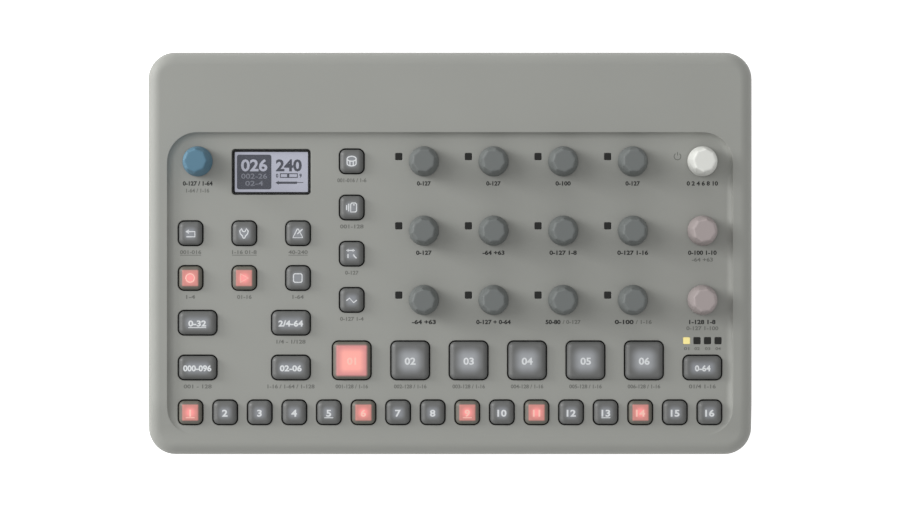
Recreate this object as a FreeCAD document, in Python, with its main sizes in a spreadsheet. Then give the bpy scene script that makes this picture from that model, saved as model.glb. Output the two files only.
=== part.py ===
"""A desktop drum machine: a flat two-part plastic shell with a sunken panel, 37 sprung keys,
16 turning knobs, a small screen, and one populated circuit board behind them.

X runs to the right, Y to the rear and Z up. The origin is under the middle of the footprint,
on the surface that the rubber feet stand on. All lengths are in millimetres.
"""
import FreeCAD
import Part
import Sketcher
import os

Vector = FreeCAD.Vector

STEP_KEYS = 16
TRACK_PADS = 6
PAGE_LIGHTS = 4
KNOB_ROWS = 3
KNOB_COLUMNS = 5
COLUMN_KEYS = 4
FRONT_SCREWS = 4
KNOB_FACETS = 8
DRIVE_SIDES = 6
# how many degrees further each knob is turned than the one before it
KNOB_TURN = 17
# how close a place, in millimetres, or a direction has to come to count as the same
TOLERANCE = 1e-3
# a face looks up where its normal rises more than this
LOOKS_UP = 0.5

# Every driving size. Places across the panel are worked out from the pitches below.
SIZES = {
    # holes in the panel and the spacing of what stands in them
    "key_hole": 11.6,
    "wide_hole": 17.9,
    "pad_hole": 17.9,
    "hole_corner": 3.0,
    "step_pitch": 15.45,
    "pad_pitch": 26.1,
    "small_pitch": 24.0,
    "row_pitch": 20.0,
    "pad_row_offset": 23.2,
    "knob_pitch_across": 31.1,
    "knob_pitch_deep": 30.95,
    "knob_row_offset": 50.2,
    "screen_length": 35.4,
    "screen_width": 20.6,
    "screen_corner": 1.6,
    "screen_across": 36.0,
    "screen_below_knobs": 4.7,
    "screen_ledge": 1.2,
    "screen_seat_depth": 1.5,
    "display_thickness": 2.0,
    "display_margin_across": 2.0,
    "display_margin_deep": 2.5,
    "display_leg_radius": 1.2,
    "light_size": 3.2,
    "light_corner": 0.5,
    "light_left_of_knob": 11.15,
    "light_behind_knob": 2.15,
    "page_light_pitch": 4.7,
    "page_light_offset": 12.0,
    # shell outline
    "panel_margin": 4.525,
    "rim_width": 8.8,
    "front_inset": 19.05,
    "knob_margin": 12.95,
    "rear_deck": 35.9,
    "corner_radius": 12.0,
    "edge_radius": 5.5,
    "base_edge_radius": 1.5,
    "wall": 2.5,
    "floor_thickness": 2.5,
    # heights above the surface
    "foot_height": 2.0,
    "parting_height": 8.0,
    "seam": 0.3,
    "panel_height": 25.0,
    "recess_depth": 2.4,
    "panel_thickness": 2.5,
    "roof_thickness": 3.2,
    # the sunken panel and how its front runs out
    "recess_corner": 13.5,
    "recess_cove": 2.9,
    "recess_front_inset": 13.05,
    "runout_start": 3.0,
    "runout_length": 12.5,
    "runout_blend": 26.0,
    # keys
    "key_gap": 0.6,
    "key_rise": 2.3,
    "key_edge_radius": 2.2,
    "key_travel": 1.5,
    "key_roof": 2.4,
    "key_wall": 1.8,
    "flange_reach": 0.7,
    "flange_thickness": 1.2,
    "flange_corner": 1.5,
    "stem_size": 4.0,
    "stem_bottom_clearance": 0.8,
    "switch_size": 7.5,
    "switch_height": 6.4,
    "switch_floor": 1.2,
    # knobs and the rotary controls under them
    "knob_top": 39.0,
    "knob_base_radius": 6.75,
    "knob_top_radius": 5.3,
    "knob_flat_base_radius": 7.4,
    "knob_flat_top_radius": 4.75,
    "knob_edge_radius": 0.8,
    "knob_clearance": 0.8,
    "knob_skirt_depth": 5.0,
    "knob_skirt_wall": 1.3,
    "hub_wall": 1.6,
    "shaft_radius": 3.0,
    "shaft_flat": 1.5,
    "shaft_flat_length": 9.0,
    "shaft_into_knob": 10.2,
    "shaft_hole_gap": 0.6,
    "rotary_size": 12.0,
    "rotary_height": 6.5,
    "rotary_floor": 1.2,
    "bushing_radius": 4.5,
    "plunger_height": 1.8,
    "plunger_travel": 0.5,
    # board
    "board_thickness": 1.6,
    "board_above_floor": 2.5,
    "board_edge_gap": 2.0,
    "chip_size": 14.0,
    "chip_height": 1.2,
    "chip_rear_inset": 21.0,
    "left_chip_x": -24.8,
    "right_chip_x": 37.2,
    # screws, bosses, posts and feet
    "screw_radius": 1.5,
    "screw_head_radius": 2.9,
    "screw_head_height": 2.0,
    "screw_engagement": 9.0,
    "screw_drive_radius": 1.3,
    "screw_drive_depth": 1.2,
    "boss_radius": 3.5,
    "pillar_radius": 4.4,
    "boss_side_inset": 11.0,
    "boss_front_inset": 7.5,
    "boss_rear_inset": 8.5,
    "post_radius": 2.5,
    "foot_radius": 6.0,
    "foot_inset": 22.0,
    "foot_seat": 1.0,
    "foot_edge_radius": 0.5,
    "lip_thickness": 1.2,
    "lip_height": 1.4,
    "lip_end_gap": 8.0,
    # sockets along the rear
    "line_bore": 3.25,
    "line_body_length": 15.5,
    "line_body_height": 11.8,
    "line_body_depth": 31.0,
    "line_window": 4.6,
    "mini_bore": 1.8,
    "mini_body_length": 8.0,
    "mini_body_height": 7.2,
    "mini_body_depth": 15.0,
    "mini_window": 3.2,
    "socket_back": 3.0,
    "socket_nose": 1.3,
    "usb_length": 8.9,
    "usb_height": 3.3,
    "usb_depth": 8.0,
    "usb_shell": 0.35,
    "usb_lift": 1.2,
    "usb_back": 1.5,
    "usb_tongue_length": 6.2,
    "usb_tongue_thickness": 0.8,
    "usb_tongue_inset": 1.0,
    "power_bore": 3.0,
    "power_pin": 1.0,
    "power_body_length": 9.0,
    "power_body_height": 10.6,
    "power_body_depth": 14.0,
    "power_window": 3.9,
    "power_pin_inset": 1.0,
    "headphones_x": -96.7,
    "left_out_x": -71.9,
    "right_out_x": -45.9,
    "midi_in_x": 0.0,
    "midi_out_x": 17.4,
    "usb_x": 62.0,
    "power_inlet_x": 89.3,
    # fits
    "loose_gap": 0.3,
    "close_gap": 0.1,
    "fit_gap": 0.05,
    "shaft_gap": 0.15,
    # how far joined pieces run into each other, and how far a cutter runs past a face
    "sink_in": 0.5,
    "overshoot": 1.0,
}

doc = FreeCAD.newDocument("drum_machine")
sheet = doc.addObject("Spreadsheet::Sheet", "dims")
for row, (alias, size) in enumerate(SIZES.items(), start=1):
    sheet.set(f"A{row}", alias)
    sheet.set(f"B{row}", str(size))
    sheet.setAlias(f"B{row}", alias)
lengths = doc.addObject("App::VarSet", "lengths")
doc.recompute()

# Places and levels, as expressions of the sheet
HALF_ROW = f"({STEP_KEYS - 1} / 2 * dims.step_pitch)"
STEP_FIRST_X = f"(-{HALF_ROW})"
RIGHT_X = f"({HALF_ROW} + (dims.key_hole - dims.wide_hole) / 2)"
HALF_PANEL = f"({HALF_ROW} + dims.key_hole / 2 + dims.panel_margin)"
HALF_LENGTH = f"({HALF_PANEL} + dims.rim_width)"
HALF_DEPTH = ("((dims.front_inset + dims.knob_row_offset + 2 * dims.knob_pitch_deep"
              " + dims.knob_margin + dims.rear_deck) / 2)")
STEP_Y = f"(dims.front_inset - {HALF_DEPTH})"
REAR_KNOB_Y = f"({STEP_Y} + dims.knob_row_offset + 2 * dims.knob_pitch_deep)"
RECESS_REAR = f"({REAR_KNOB_Y} + dims.knob_margin)"
RECESS_FRONT = f"({STEP_Y} - dims.recess_front_inset)"
RIM_Z = "(dims.panel_height + dims.recess_depth)"
SHELL_FOOT = "(dims.parting_height + dims.seam)"
PANEL_UNDER = "(dims.panel_height - dims.panel_thickness)"
ROOF_UNDER = f"({RIM_Z} - dims.roof_thickness)"
FLOOR_TOP = "(dims.foot_height + dims.floor_thickness)"
BOARD_UNDER = f"({FLOOR_TOP} + dims.board_above_floor)"
BOARD_TOP = f"({BOARD_UNDER} + dims.board_thickness)"
ON_BOARD = f"({BOARD_TOP} + dims.close_gap)"
FLANGE_TOP = f"({PANEL_UNDER} - dims.loose_gap)"
KNOB_Z = "(dims.panel_height + dims.knob_clearance)"
SCREEN_X = f"({STEP_FIRST_X} + dims.screen_across)"
SCREEN_Y = f"({REAR_KNOB_Y} - dims.screen_below_knobs)"
REAR_INSIDE = f"({HALF_DEPTH} - dims.wall - dims.close_gap)"


def number(expression):
    """The value of an expression, kept as a variable, for what can't be bound to the sheet."""
    name = f"length_{len(lengths.PropertiesList)}"
    lengths.addProperty("App::PropertyFloat", name)
    lengths.setExpression(name, expression)
    lengths.recompute()
    return getattr(lengths, name)


def step_x(index):
    return f"({STEP_FIRST_X} + {index} * dims.step_pitch)"


def small_x(index):
    return f"({STEP_FIRST_X} + {index} * dims.small_pitch)"


def wide_x(index):
    """Wide keys line up with the outer edges of the small keys behind them."""
    shift = "(dims.wide_hole - dims.key_hole) / 2"
    return f"({small_x(0)} + {shift})" if index == 0 else f"({small_x(2)} - {shift})"


def pad_x(index):
    return f"({RIGHT_X} - {TRACK_PADS - index} * dims.pad_pitch)"


def row_y(index):
    """Rows of the left block, counted back from the step keys."""
    return f"({STEP_Y} + {index} * dims.row_pitch)"


def knob_x(column):
    return f"({RIGHT_X} - {KNOB_COLUMNS - 1 - column} * dims.knob_pitch_across)"


def knob_y(row):
    """Knob rows, counted forward from the rear one."""
    return f"({REAR_KNOB_Y} - {row} * dims.knob_pitch_deep)"


PAD_Y = f"({STEP_Y} + dims.pad_row_offset)"
# the keys of the column beside the knobs span the same depth as the knob rows
COLUMN_PITCH = f"(dims.knob_pitch_deep * {KNOB_ROWS - 1} / {COLUMN_KEYS - 1})"

KEYS = (
    [(f"step_key_{i + 1:02d}", "key", step_x(i), STEP_Y) for i in range(STEP_KEYS)]
    + [(f"track_pad_{i + 1}", "pad", pad_x(i), PAD_Y) for i in range(TRACK_PADS)]
    + [
        ("function_key", "wide", wide_x(0), row_y(2)),
        ("retrigger_key", "wide", wide_x(1), row_y(2)),
        ("pattern_key", "wide", wide_x(0), row_y(1)),
        ("track_key", "wide", wide_x(1), row_y(1)),
        ("page_key", "wide", RIGHT_X, row_y(1)),
        ("return_key", "key", small_x(0), row_y(4)),
        ("settings_key", "key", small_x(1), row_y(4)),
        ("tempo_key", "key", small_x(2), row_y(4)),
        ("record_key", "key", small_x(0), row_y(3)),
        ("play_key", "key", small_x(1), row_y(3)),
        ("stop_key", "key", small_x(2), row_y(3)),
    ]
    + [
        (name, "key", pad_x(0), f"({REAR_KNOB_Y} - {i} * {COLUMN_PITCH})")
        for i, name in enumerate(("drum_key", "card_key", "arrows_key", "wave_key"))
    ]
)

KNOB_GRID = (
    ("pitch_knob", "decay_knob", "color_knob", "shape_knob", "main_volume_knob"),
    ("sweep_knob", "contour_knob", "delay_send_knob", "reverb_send_knob", "reverb_size_knob"),
    ("lfo_speed_knob", "volume_knob", "swing_knob", "chance_knob", "delay_time_knob"),
)
KNOBS = [("level_knob", wide_x(0), knob_y(0))] + [
    (name, knob_x(column), knob_y(row))
    for row, names in enumerate(KNOB_GRID)
    for column, name in enumerate(names)
]
PUSH_KNOB = "main_volume_knob"

LIGHTS = [
    (f"light_{row}_{column}", f"({knob_x(column)} - dims.light_left_of_knob)",
     f"({knob_y(row)} + dims.light_behind_knob)")
    for row in range(KNOB_ROWS)
    for column in range(KNOB_COLUMNS - 1)
] + [
    (f"page_light_{i}", f"({RIGHT_X} + ({i} - {PAGE_LIGHTS - 1} / 2) * dims.page_light_pitch)",
     f"({row_y(1)} + dims.page_light_offset)")
    for i in range(PAGE_LIGHTS)
]

SIDE_BOSS_X = f"({HALF_LENGTH} - dims.boss_side_inset)"
FRONT_BOSS_Y = f"(dims.boss_front_inset - {HALF_DEPTH})"
REAR_BOSS_Y = f"({HALF_DEPTH} - dims.boss_rear_inset)"
MID_BOSS_Y = f"({knob_y(1)} + {knob_y(2)}) / 2"
# the front screws stand at even distances between the side ones
FRONT_SCREW_X = f"{SIDE_BOSS_X} / {FRONT_SCREWS - 1}"
SCREWS = [
    ("front_left", f"-{SIDE_BOSS_X}", FRONT_BOSS_Y, PANEL_UNDER),
    ("front_mid_left", f"-{FRONT_SCREW_X}", FRONT_BOSS_Y, PANEL_UNDER),
    ("front_mid_right", FRONT_SCREW_X, FRONT_BOSS_Y, PANEL_UNDER),
    ("front_right", SIDE_BOSS_X, FRONT_BOSS_Y, PANEL_UNDER),
    ("mid_left", f"(({small_x(2)} + {pad_x(0)}) / 2)", MID_BOSS_Y, PANEL_UNDER),
    ("mid_right", f"(({knob_x(3)} + {knob_x(4)}) / 2)", MID_BOSS_Y, PANEL_UNDER),
    ("rear_left", f"-{SIDE_BOSS_X}", REAR_BOSS_Y, ROOF_UNDER),
    ("rear_right", SIDE_BOSS_X, REAR_BOSS_Y, ROOF_UNDER),
]

# round sockets along the rear, each with the kind that gives its sizes
ROUND_SOCKETS = (
    ("headphones", "mini"),
    ("left_out", "line"),
    ("right_out", "line"),
    ("midi_in", "mini"),
    ("midi_out", "mini"),
    ("power_inlet", "power"),
)


def socket_z(kind):
    return f"({ON_BOARD} + dims.{kind}_body_height / 2)"


USB_Z = f"({ON_BOARD} + dims.usb_lift + dims.usb_height / 2)"
LENS_Z = "(dims.panel_height - dims.screen_seat_depth + dims.fit_gap)"
SCREW_SEAT = f"({FLOOR_TOP} + dims.close_gap)"
FOOT_X = f"({HALF_LENGTH} - dims.foot_inset)"
FOOT_Y = f"({HALF_DEPTH} - dims.foot_inset)"
FEET = [
    ("front_left_foot", f"-{FOOT_X}", f"-{FOOT_Y}"),
    ("front_right_foot", FOOT_X, f"-{FOOT_Y}"),
    ("rear_left_foot", f"-{FOOT_X}", FOOT_Y),
    ("rear_right_foot", FOOT_X, FOOT_Y),
]


def upright(edge):
    """Does this edge stand straight up?"""
    ends = [v.Point for v in edge.Vertexes]
    return len(ends) == 2 and (ends[0] - ends[1]).cross(Vector(0, 0, 1)).Length < TOLERANCE


def level_at(height):
    """A test for edges that lie flat at this height."""
    def lies_there(edge):
        box = edge.BoundBox
        return abs(box.ZMin - height) < TOLERANCE and abs(box.ZMax - height) < TOLERANCE
    return lies_there


def place(item, x, y, z):
    for axis, expression in zip("xyz", (x, y, z)):
        item.setExpression(f"Placement.Base.{axis}", str(expression))
    return item


def block(name, length, width, height, x, y, z):
    """A box centred on x and y, standing on z."""
    item = doc.addObject("Part::Box", name)
    for side, expression in (("Length", length), ("Width", width), ("Height", height)):
        item.setExpression(side, expression)
    return place(item, f"{x} - ({length}) / 2", f"{y} - ({width}) / 2", z)


def rod(name, radius, height, x, y, z, rearward=False):
    """A cylinder standing on z, or one that starts at y and runs to the rear."""
    item = doc.addObject("Part::Cylinder", name)
    item.setExpression("Radius", radius)
    item.setExpression("Height", height)
    if rearward:
        item.Placement = FreeCAD.Placement(Vector(), FreeCAD.Rotation(Vector(1, 0, 0), -90))
    return place(item, x, y, z)


def rounded(name, base, radius, wanted):
    """The base with a fillet on each edge that passes the test."""
    base.recompute(True)
    size = number(radius)
    item = doc.addObject("Part::Fillet", name)
    item.Base = base
    item.Edges = [(i, size, size) for i, edge in enumerate(base.Shape.Edges, 1) if wanted(edge)]
    return item


def joined(name, items):
    item = doc.addObject("Part::MultiFuse", name)
    item.Shapes = items
    return item


def grouped(name, items):
    item = doc.addObject("Part::Compound", name)
    item.Links = items
    return item


def carved(name, base, tools):
    """The base less the tools, which don't meet each other."""
    item = doc.addObject("Part::Cut", name)
    item.Base = base
    item.Tool = tools[0] if len(tools) == 1 else grouped(f"{name}_tools", tools)
    return item


def hole_size(kind):
    """Length and width of a key's hole."""
    return {
        "key": ("dims.key_hole", "dims.key_hole"),
        "wide": ("dims.wide_hole", "dims.key_hole"),
        "pad": ("dims.pad_hole", "dims.pad_hole"),
    }[kind]


def key(name, kind, x, y):
    """A key: a soft-edged cap, a flange that the panel holds down, and a stem into its switch."""
    hole_length, hole_width = hole_size(kind)
    length = f"({hole_length} - 2 * dims.key_gap)"
    width = f"({hole_width} - 2 * dims.key_gap)"
    top = "(dims.panel_height + dims.key_rise)"
    hollow_top = f"({top} - dims.key_roof)"
    flange_z = f"({FLANGE_TOP} - dims.flange_thickness)"
    cap = block(f"{name}_cap", length, width, f"{top} - {flange_z}", x, y, flange_z)
    cap = rounded(f"{name}_cap_sides", cap, "dims.hole_corner - dims.key_gap", upright)
    cap = rounded(f"{name}_cap_top", cap, "dims.key_edge_radius", level_at(number(top)))
    reach = "2 * (dims.key_gap + dims.flange_reach)"
    flange = block(f"{name}_flange", f"{length} + {reach}", f"{width} + {reach}",
                   "dims.flange_thickness", x, y, flange_z)
    flange = rounded(f"{name}_flange_sides", flange, "dims.flange_corner", upright)
    hollow = block(f"{name}_hollow", f"{length} - 2 * dims.key_wall",
                   f"{width} - 2 * dims.key_wall",
                   f"{hollow_top} - {flange_z}", x, y, flange_z)
    stem_z = (f"({ON_BOARD} + dims.switch_floor + dims.key_travel"
              " + dims.stem_bottom_clearance)")
    stem = block(f"{name}_stem", "dims.stem_size", "dims.stem_size",
                 f"{hollow_top} + dims.sink_in - {stem_z}", x, y, stem_z)
    shell = carved(f"{name}_shell", joined(f"{name}_outside", [cap, flange]), [hollow])
    return joined(name, [shell, stem])


def faceted_cone(name, x, y, turn):
    """A cone, round at its foot, with flats that take over towards its top."""
    height = f"(dims.knob_top - {KNOB_Z})"
    cone = doc.addObject("Part::Cone", f"{name}_cone")
    cone.setExpression("Radius1", "dims.knob_base_radius")
    cone.setExpression("Radius2", "dims.knob_top_radius")
    cone.setExpression("Height", height)
    place(cone, x, y, KNOB_Z)
    outlines = []
    for level, radius, z in (("foot", "dims.knob_flat_base_radius", KNOB_Z),
                             ("top", "dims.knob_flat_top_radius", "dims.knob_top")):
        outline = doc.addObject("Part::RegularPolygon", f"{name}_{level}_outline")
        outline.Polygon = KNOB_FACETS
        outline.setExpression("Circumradius", f"{radius} / cos(180 deg / {KNOB_FACETS})")
        outline.Placement = FreeCAD.Placement(Vector(), FreeCAD.Rotation(Vector(0, 0, 1), turn))
        outlines.append(place(outline, x, y, z))
    flats = doc.addObject("Part::Loft", f"{name}_flats")
    flats.Sections = outlines
    flats.Solid = True
    flats.Ruled = True
    body = doc.addObject("Part::Common", f"{name}_faceted")
    body.Base = cone
    body.Tool = flats
    return rounded(f"{name}_soft", body, "dims.knob_edge_radius",
                   level_at(number("dims.knob_top")))


def d_shape(name, radius, flat, start, flat_start, end, x, y):
    """A rod with a flat on its right side from flat_start to its end."""
    whole = rod(f"{name}_rod", radius, f"{end} - {start}", x, y, start)
    slice_off = block(f"{name}_flat", radius, f"2 * ({radius} + dims.overshoot)",
                      f"{end} - {flat_start} + dims.overshoot",
                      f"{x} + {flat} + {radius} / 2", y, flat_start)
    return carved(f"{name}_d", whole, [slice_off])


def shaft_bottom(name):
    """The main volume shaft rests over the plunger of the power switch."""
    low = f"({ON_BOARD} + dims.rotary_floor + dims.loose_gap)"
    if name != PUSH_KNOB:
        return low
    return f"({low} + dims.plunger_travel + dims.plunger_height + dims.loose_gap)"


def knob(name, x, y, turn):
    """A hollow cap with a hub on a D-shaped shaft. The two are separate solids."""
    shaft_top = f"({KNOB_Z} + dims.shaft_into_knob)"
    flat_start = f"({shaft_top} - dims.shaft_flat_length)"
    body = faceted_cone(name, x, y, turn)
    bore = d_shape(f"{name}_bore", "(dims.shaft_radius + dims.fit_gap)",
                   "(dims.shaft_flat + dims.fit_gap)", KNOB_Z,
                   f"({flat_start} - dims.fit_gap)", f"({shaft_top} + dims.close_gap)", x, y)
    skirt = rod(f"{name}_skirt", "dims.knob_base_radius - dims.knob_skirt_wall",
                "dims.knob_skirt_depth", x, y, KNOB_Z)
    hub = rod(f"{name}_hub", "dims.shaft_radius + dims.hub_wall", "dims.knob_skirt_depth",
              x, y, KNOB_Z)
    cap = carved(f"{name}_cap", body, [carved(f"{name}_ring", skirt, [hub]), bore])
    shaft = d_shape(f"{name}_shaft", "dims.shaft_radius", "dims.shaft_flat",
                    shaft_bottom(name), flat_start, shaft_top, x, y)
    return grouped(name, [cap, shaft])


def power_plunger():
    """The slider of the power switch, under the main volume shaft."""
    x, y = next((x, y) for name, x, y in KNOBS if name == PUSH_KNOB)
    z = f"({ON_BOARD} + dims.rotary_floor + dims.loose_gap + dims.plunger_travel)"
    return rod("power_plunger", "dims.shaft_radius + dims.shaft_gap - dims.loose_gap",
               "dims.plunger_height", x, y, z)


def shell_blank():
    """The outside of the upper shell: its top runs down to the panel's level at the front."""
    body = doc.addObject("PartDesign::Body", "shell_blank")
    plane = next(f for f in body.Origin.OriginFeatures if f.Role == "YZ_Plane")
    sketch = body.newObject("Sketcher::SketchObject", "shell_side")
    sketch.AttachmentSupport = [(plane, "")]
    sketch.MapMode = "FlatFace"
    runout = f"({RECESS_FRONT} + dims.recess_corner)"
    corners = [
        ("rear_low", HALF_DEPTH, SHELL_FOOT),
        ("rear_top", HALF_DEPTH, RIM_Z),
        ("runout_top", f"({runout} + dims.runout_start)", RIM_Z),
        ("runout_foot", f"({runout} + dims.runout_start - dims.runout_length)",
         "dims.panel_height"),
        ("front_top", f"-{HALF_DEPTH}", "dims.panel_height"),
        ("front_low", f"-{HALF_DEPTH}", SHELL_FOOT),
    ]
    points = [Vector(number(y), number(z), 0) for _, y, z in corners]
    count = len(points)
    for i in range(count):
        sketch.addGeometry(Part.LineSegment(points[i], points[(i + 1) % count]), False)
        sketch.addConstraint(Sketcher.Constraint("Coincident", i, 1, (i - 1) % count, 2)
                             if i else Sketcher.Constraint("DistanceX", -1, 1, 0, 1, points[0].x))
    sketch.addConstraint(Sketcher.Constraint("Coincident", 0, 1, count - 1, 2))
    for i, (corner, y, z) in enumerate(corners):
        for kind, value, expression in (("DistanceX", points[i].x, y),
                                        ("DistanceY", points[i].y, z)):
            if i == 0 and kind == "DistanceX":
                index = 0
            else:
                index = sketch.addConstraint(Sketcher.Constraint(kind, -1, 1, i, 1, value))
            sketch.renameConstraint(index, f"{corner}_{kind[-1].lower()}")
            sketch.setExpression(f"Constraints.{corner}_{kind[-1].lower()}", expression)
    pad = body.newObject("PartDesign::Pad", "shell_pad")
    pad.Profile = sketch
    pad.Midplane = True
    pad.setExpression("Length", f"2 * {HALF_LENGTH}")
    doc.recompute()
    half_depth = number(HALF_DEPTH)

    def bend(edge):
        """The two edges across the top where its slope begins and ends."""
        box = edge.BoundBox
        return box.XLength > TOLERANCE and abs(box.YMin) < half_depth - TOLERANCE
    blend = soften(body, "shell_bends", pad, "dims.runout_blend", bend)
    corners_done = soften(body, "shell_corners", blend, "dims.corner_radius", upright)
    soften(body, "shell_rim", corners_done, "dims.edge_radius", top_rim(corners_done.Shape))
    return body


def soften(body, name, base, radius, wanted):
    """A fillet feature on each edge of the base that passes the test."""
    item = body.newObject("PartDesign::Fillet", name)
    edges = [f"Edge{i}" for i, edge in enumerate(base.Shape.Edges, 1) if wanted(edge)]
    item.Base = (base, edges)
    item.setExpression("Radius", radius)
    doc.recompute()
    return item


def top_rim(shape):
    """A test for the edges that part the top faces from the outer walls."""
    def looks_up(face):
        return face.normalAt(*face_middle(face)).z > LOOKS_UP
    top = [face for face in shape.Faces if looks_up(face)]
    walls = [face for face in shape.Faces
             if abs(face.normalAt(*face_middle(face)).z) < TOLERANCE]

    def on_both(edge):
        return any(shares(face, edge) for face in top) and any(
            shares(face, edge) for face in walls)
    return on_both


def face_middle(face):
    low_u, high_u, low_v, high_v = face.ParameterRange
    return (low_u + high_u) / 2, (low_v + high_v) / 2


def shares(face, edge):
    return any(edge.isSame(other) for other in face.Edges)


def upper_cavity():
    """The space inside the upper shell: under the panel, and higher under the rear deck."""
    low = block("cavity_low", f"2 * ({HALF_LENGTH} - dims.wall)",
                f"2 * ({HALF_DEPTH} - dims.wall)", f"{PANEL_UNDER} - dims.parting_height",
                "0", "0", "dims.parting_height")
    low = rounded("cavity_low_corners", low, "dims.corner_radius - dims.wall", upright)
    low = rounded("cavity_low_top", low, "dims.edge_radius - dims.wall",
                  level_at(number(PANEL_UNDER)))
    front = f"({RECESS_REAR} + dims.wall)"
    rear = f"({HALF_DEPTH} - dims.wall)"
    rear_face = number(rear)
    high = block("cavity_high", f"2 * ({HALF_LENGTH} - dims.wall)", f"{rear} - {front}",
                 f"{ROOF_UNDER} - dims.parting_height", "0", f"({rear} + {front}) / 2",
                 "dims.parting_height")

    def outer(edge):
        return upright(edge) and edge.BoundBox.YMin > rear_face - TOLERANCE
    high = rounded("cavity_high_corners", high, "dims.corner_radius - dims.wall", outer)
    high = rounded("cavity_high_top", high, "dims.edge_radius - dims.wall",
                   level_at(number(ROOF_UNDER)))
    return joined("upper_cavity", [low, high])


def recess():
    """The space over the sunken panel, with a cove round its foot."""
    tool = block("recess_block", f"2 * {HALF_PANEL}", f"{RECESS_REAR} - {RECESS_FRONT}",
                 "dims.recess_depth + dims.recess_cove + dims.overshoot", "0",
                 f"({RECESS_REAR} + {RECESS_FRONT}) / 2", "dims.panel_height")
    tool = rounded("recess_corners", tool, "dims.recess_corner", upright)
    return rounded("recess", tool, "dims.recess_cove", level_at(number("dims.panel_height")))


def panel_openings():
    """Holes through the panel for keys, shafts, lights and the screen."""
    low = f"({PANEL_UNDER} - dims.overshoot)"
    tall = "dims.panel_thickness + 2 * dims.overshoot"
    tools = []
    for name, kind, x, y in KEYS:
        length, width = hole_size(kind)
        hole = block(f"{name}_hole_block", length, width, tall, x, y, low)
        tools.append(rounded(f"{name}_hole", hole, "dims.hole_corner", upright))
    for name, x, y in KNOBS:
        tools.append(rod(f"{name}_shaft_hole", "dims.shaft_radius + dims.shaft_hole_gap", tall,
                         x, y, low))
    for name, x, y in LIGHTS:
        hole = block(f"{name}_hole_block", "dims.light_size", "dims.light_size", tall, x, y, low)
        tools.append(rounded(f"{name}_hole", hole, "dims.light_corner", upright))
    ledge = "2 * dims.screen_ledge"
    view = block("screen_view_hole", f"dims.screen_length - {ledge}",
                 f"dims.screen_width - {ledge}", tall, SCREEN_X, SCREEN_Y, low)
    seat = block("screen_seat_block", "dims.screen_length", "dims.screen_width",
                 "dims.panel_thickness", SCREEN_X, SCREEN_Y,
                 "dims.panel_height - dims.screen_seat_depth")
    seat = rounded("screen_seat", seat, "dims.screen_corner", upright)
    tools.append(joined("screen_hole", [view, seat]))
    return tools


def rear_windows():
    """Holes through the rear wall in front of the sockets."""
    start = f"({HALF_DEPTH} - dims.wall - dims.overshoot)"
    deep = "(dims.wall + 2 * dims.overshoot)"
    tools = [
        rod(f"{name}_window", f"dims.{kind}_window", deep, f"dims.{name}_x", start,
            socket_z(kind), True)
        for name, kind in ROUND_SOCKETS
    ]
    tools.append(block("usb_window", "dims.usb_length + 2 * dims.loose_gap", deep,
                       "dims.usb_height + 2 * dims.loose_gap", "dims.usb_x",
                       f"{start} + {deep} / 2",
                       f"{USB_Z} - dims.usb_height / 2 - dims.loose_gap"))
    return tools


def upper_case():
    """The upper shell with its sunken panel, openings and screw bosses."""
    hollowed = carved("shell_hollowed", shell_blank(), [upper_cavity()])
    sunk = carved("shell_sunk", hollowed, [recess()])
    bosses = []
    for name, x, y, under in SCREWS:
        boss = rod(f"{name}_boss_rod", "dims.boss_radius",
                   f"{under} + dims.sink_in - {ON_BOARD}", x, y, ON_BOARD)
        pilot = rod(f"{name}_pilot", "dims.screw_radius + dims.fit_gap",
                    "dims.screw_engagement + dims.overshoot", x, y, ON_BOARD)
        bosses.append(carved(f"{name}_boss", boss, [pilot]))
    whole = joined("shell_bossed", [sunk] + bosses)
    return carved("upper_case", whole, panel_openings() + rear_windows())


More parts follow.
